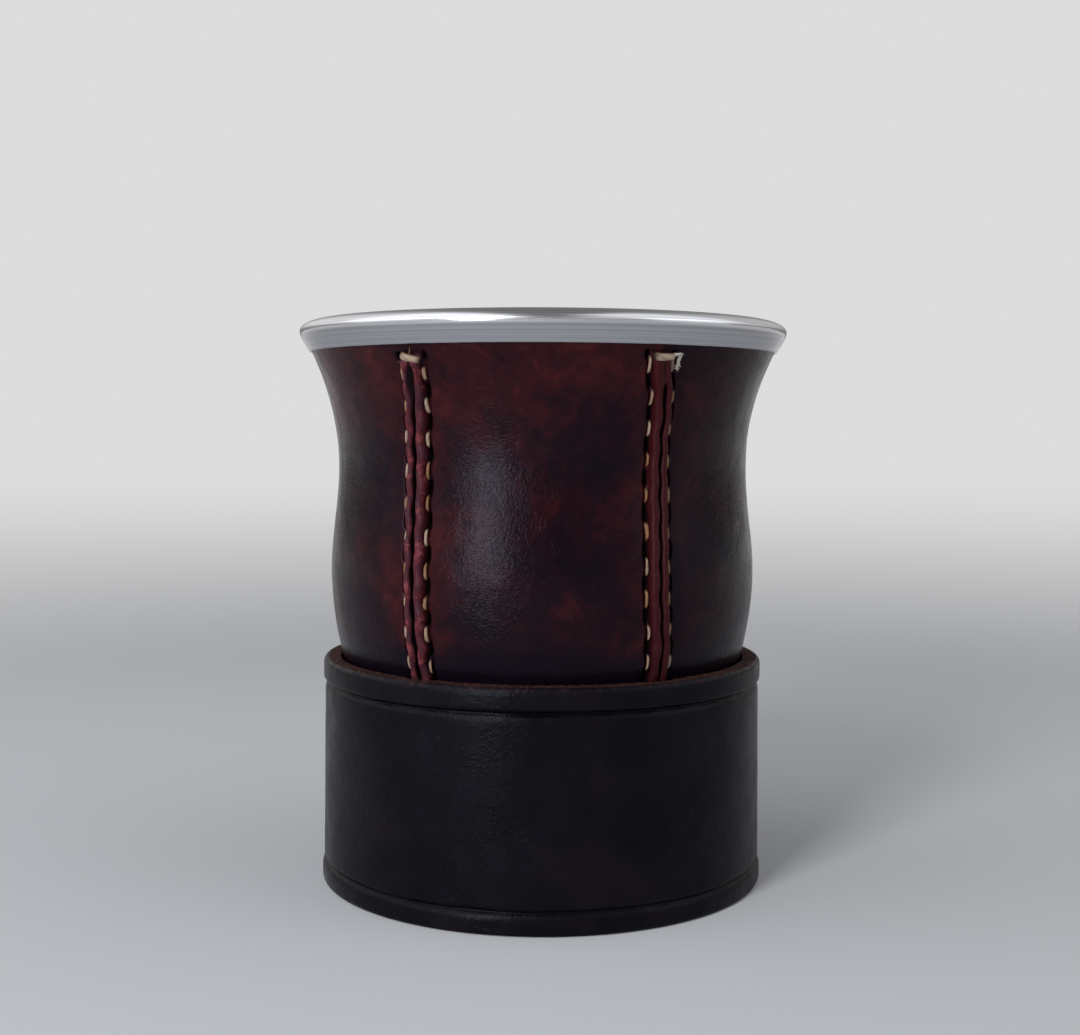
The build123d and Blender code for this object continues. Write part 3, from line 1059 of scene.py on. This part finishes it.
def makeGourd():
    material, shade = newMaterial("dryGourd")
    place = objectPlace(shade)
    clouds = noiseOf(shade, place, 0.09, 5, 0.6)
    fibres = noiseOf(shade, objectPlace(shade, (1, 1, 0.3)), 1.6, 4, 0.65)
    tone = blendColours(shade, between(shade, clouds, 0.3, 0.7), gourdTones["brown"], gourdTones["pale"])
    tone = blendColours(shade, between(shade, fibres, 0.5, 0.8, 0, 0.5), tone, gourdTones["fibre"])
    finishMaterial(shade, {
        "Base Color": tone,
        "Roughness": 0.78,
        "Specular IOR Level": 0.3,
        "Normal": bumped(shade, fibres * 0.6 + clouds * 0.4, 0.25, 0.5),
    })
    return material


threadTones = {
    "tan": (0.36, 0.265, 0.19),
    "rust": (0.23, 0.1, 0.035),
    # painted shade: each stitch's underside and the creases between its plies
    "groove": (0.13, 0.06, 0.028),
    "fibre": (0.58, 0.48, 0.36),
    "frayed": (0.5, 0.47, 0.4),
    # painted shade where each stitch dips into its hole
    "end": (0.03, 0.011, 0.005),
}


def makeThread():
    material, shade = newMaterial("waxedThread")
    place = objectPlace(shade)
    end, ply, tint, side = (attributeOf(shade, name) for name in ("end", "ply", "tint", "flank"))
    grime = noiseOf(shade, place, 0.6, 3, 0.6)
    fibres = noiseOf(shade, place, 5.0, 3, 0.6)
    age = tint * 0.6 + grime * 0.6
    tone = blendColours(shade, between(shade, age, 0.3, 0.8), threadTones["tan"], threadTones["rust"])
    # painted shade down each stitch's sides and underside
    tone = blendColours(shade, between(shade, side, 0.12, 0.5, 0.0, 0.85), tone, threadTones["groove"])
    tone = blendColours(shade, between(shade, fibres, 0.5, 0.75, 0, 0.4), tone, threadTones["fibre"])
    # painted shade in the creases between the plies
    tone = blendColours(shade, between(shade, ply, 0.0, 0.4, 0.5, 0.0), tone, threadTones["groove"])
    # painted shade where each stitch dips into its hole, made uneven by the grime noise
    tone = blendColours(shade, between(shade, end + grime * 0.3, 0.25, 1.0), tone, threadTones["end"])
    tone = blendColours(shade, between(shade, tint, -0.5, 0.0, 1, 0), tone, threadTones["frayed"])
    finishMaterial(shade, {
        "Base Color": tone,
        "Roughness": 0.55,
        "Specular IOR Level": 0.3,
        "Normal": bumped(shade, fibres * 0.5 + ply * 0.5, 0.1, 0.7),
    })
    return material


print("materials")
coverLeather = makeCoverLeather()
waxedThread = makeThread()

print("pieces")
for seam in range(seamCount):
    leatherPanel(seam, coverLeather)
    seamThread(seam, waxedThread)
gourdShell(makeGourd())
rimCollar(makeRimMetal())
ringStand(makeStandLeather())


stageStyle = {
    "floorTone": 0.7,
    "skyTone": 0.72,
    "shineTone": 0.2,  # the surroundings as gloss and metal show them
    "leftShine": 0.66,  # and what two pale panels over the sides add there
    "rightShine": 0.36,
    "fillLight": 0.22,  # what the world adds to diffuse surfaces
    "fadeStart": 0.25,  # metres from the cup, where the floor begins to turn into the background
    "fadeEnd": 2.8,
    "fadeEase": 0.2,
    "floorRadius": 12.0,
    "lampColour": (0.88, 0.92, 1.0),
    "lampTarget": (0, 0, 0.06),
}


def makeFloor():
    material, shade = newMaterial("paleFloor")
    place = shade.node("ShaderNodeTexCoord", output=3)
    away = shade.node("ShaderNodeVectorMath", {"operation": "LENGTH"}, {0: place}, output=1)
    ease = stageStyle["fadeEase"]
    nearness = shade.maths("DIVIDE", 1.0, away + ease)
    start, end = (1 / (stageStyle[name] + ease) for name in ("fadeStart", "fadeEnd"))
    far = between(shade, nearness, end, start, 1, 0)
    tone = stageStyle["floorTone"]
    sky = stageStyle["skyTone"]
    near = shade.node("ShaderNodeBsdfDiffuse", {}, {"Color": (tone, tone, tone, 1)})
    distant = shade.node("ShaderNodeEmission", {}, {"Color": (sky, sky, sky, 1)})
    surface = shade.node("ShaderNodeMixShader", {}, {0: far, 1: near, 2: distant})
    shade.node("ShaderNodeOutputMaterial", {}, {"Surface": surface})
    shape = bmesh.new()
    bmesh.ops.create_circle(shape, cap_ends=True, segments=96, radius=stageStyle["floorRadius"])
    floor = meshObject("floor", shape, material)


def makeWorld():
    world = bpy.data.worlds.new("studio")
    world.use_nodes = True
    world.node_tree.nodes.clear()
    bpy.context.scene.world = world
    shade = Shade(world.node_tree)
    camera = shade.node("ShaderNodeLightPath", output="Is Camera Ray")
    names = ("Is Glossy Ray", "Is Transmission Ray")
    shine = shade.maths("MAXIMUM", *(camera.otherOutput(name) for name in names))
    direction = shade.node("ShaderNodeTexCoord", output=0)
    sideways = shade.node("ShaderNodeSeparateXYZ", {}, {0: direction})
    upwards = sideways.otherOutput(2)
    panels = between(shade, shade.maths("ABSOLUTE", sideways), 0.1, 0.4) * between(shade, upwards, 0.02, 0.3)
    panels = panels * between(shade, sideways, -0.2, 0.2, stageStyle["leftShine"], stageStyle["rightShine"])
    fill = stageStyle["fillLight"]
    strength = fill + (stageStyle["skyTone"] - fill) * camera
    strength = strength + (panels + (stageStyle["shineTone"] - fill)) * shine
    background = shade.node("ShaderNodeBackground", {}, {"Color": (1, 1, 1, 1), "Strength": strength})
    shade.node("ShaderNodeOutputWorld", {}, {"Surface": background})


softboxes = {  # each one's place, size and power
    "keyLeft": ((-0.4, -0.7, 0.28), (0.22, 1.0), 6.8),
    "sideLeft": ((-0.78, -0.22, 0.35), (0.6, 0.6), 0.55),
    "sideRight": ((0.75, -0.27, 0.35), (0.6, 0.6), 0.5),
    "overheadLeft": ((-0.55, -0.1, 0.72), (0.9, 0.9), 1.5),
    "overheadRight": ((0.55, -0.1, 0.72), (0.9, 0.9), 1.3),
}


def addSoftbox(name, place, size, power):
    light = bpy.data.lights.new(name, "AREA")
    light.color = stageStyle["lampColour"]
    light.shape = "RECTANGLE"
    light.size, light.size_y = size
    light.energy = power
    lamp = addToScene(name, light)
    lamp.location = place
    aim = Vector(stageStyle["lampTarget"]) - Vector(place)
    lamp.rotation_euler = aim.to_track_quat("-Z", "Y").to_euler()


cameraStyle = {
    "place": (-0.00043, -0.2889, 0.0838),
    "pitch": 3.5,  # degrees down
    "roll": 0.23,
    "lens": 51.78,
}


def makeCamera():
    lens = bpy.data.cameras.new("camera")
    lens.sensor_width = 36
    lens.sensor_fit = "HORIZONTAL"
    lens.lens = cameraStyle["lens"]
    lens.clip_start = 0.01
    camera = addToScene("camera", lens)
    turn = Matrix.Rotation(radians(90 - cameraStyle["pitch"]), 4, "X")
    roll = Matrix.Rotation(radians(cameraStyle["roll"]), 4, "Z")
    camera.matrix_world = Matrix.Translation(cameraStyle["place"]) @ turn @ roll
    bpy.context.scene.camera = camera


print("stage, lights and camera")
makeFloor()
makeWorld()
for name, softbox in softboxes.items():
    addSoftbox(name, *softbox)
makeCamera()
bpy.context.scene.view_settings.view_transform = "Standard"
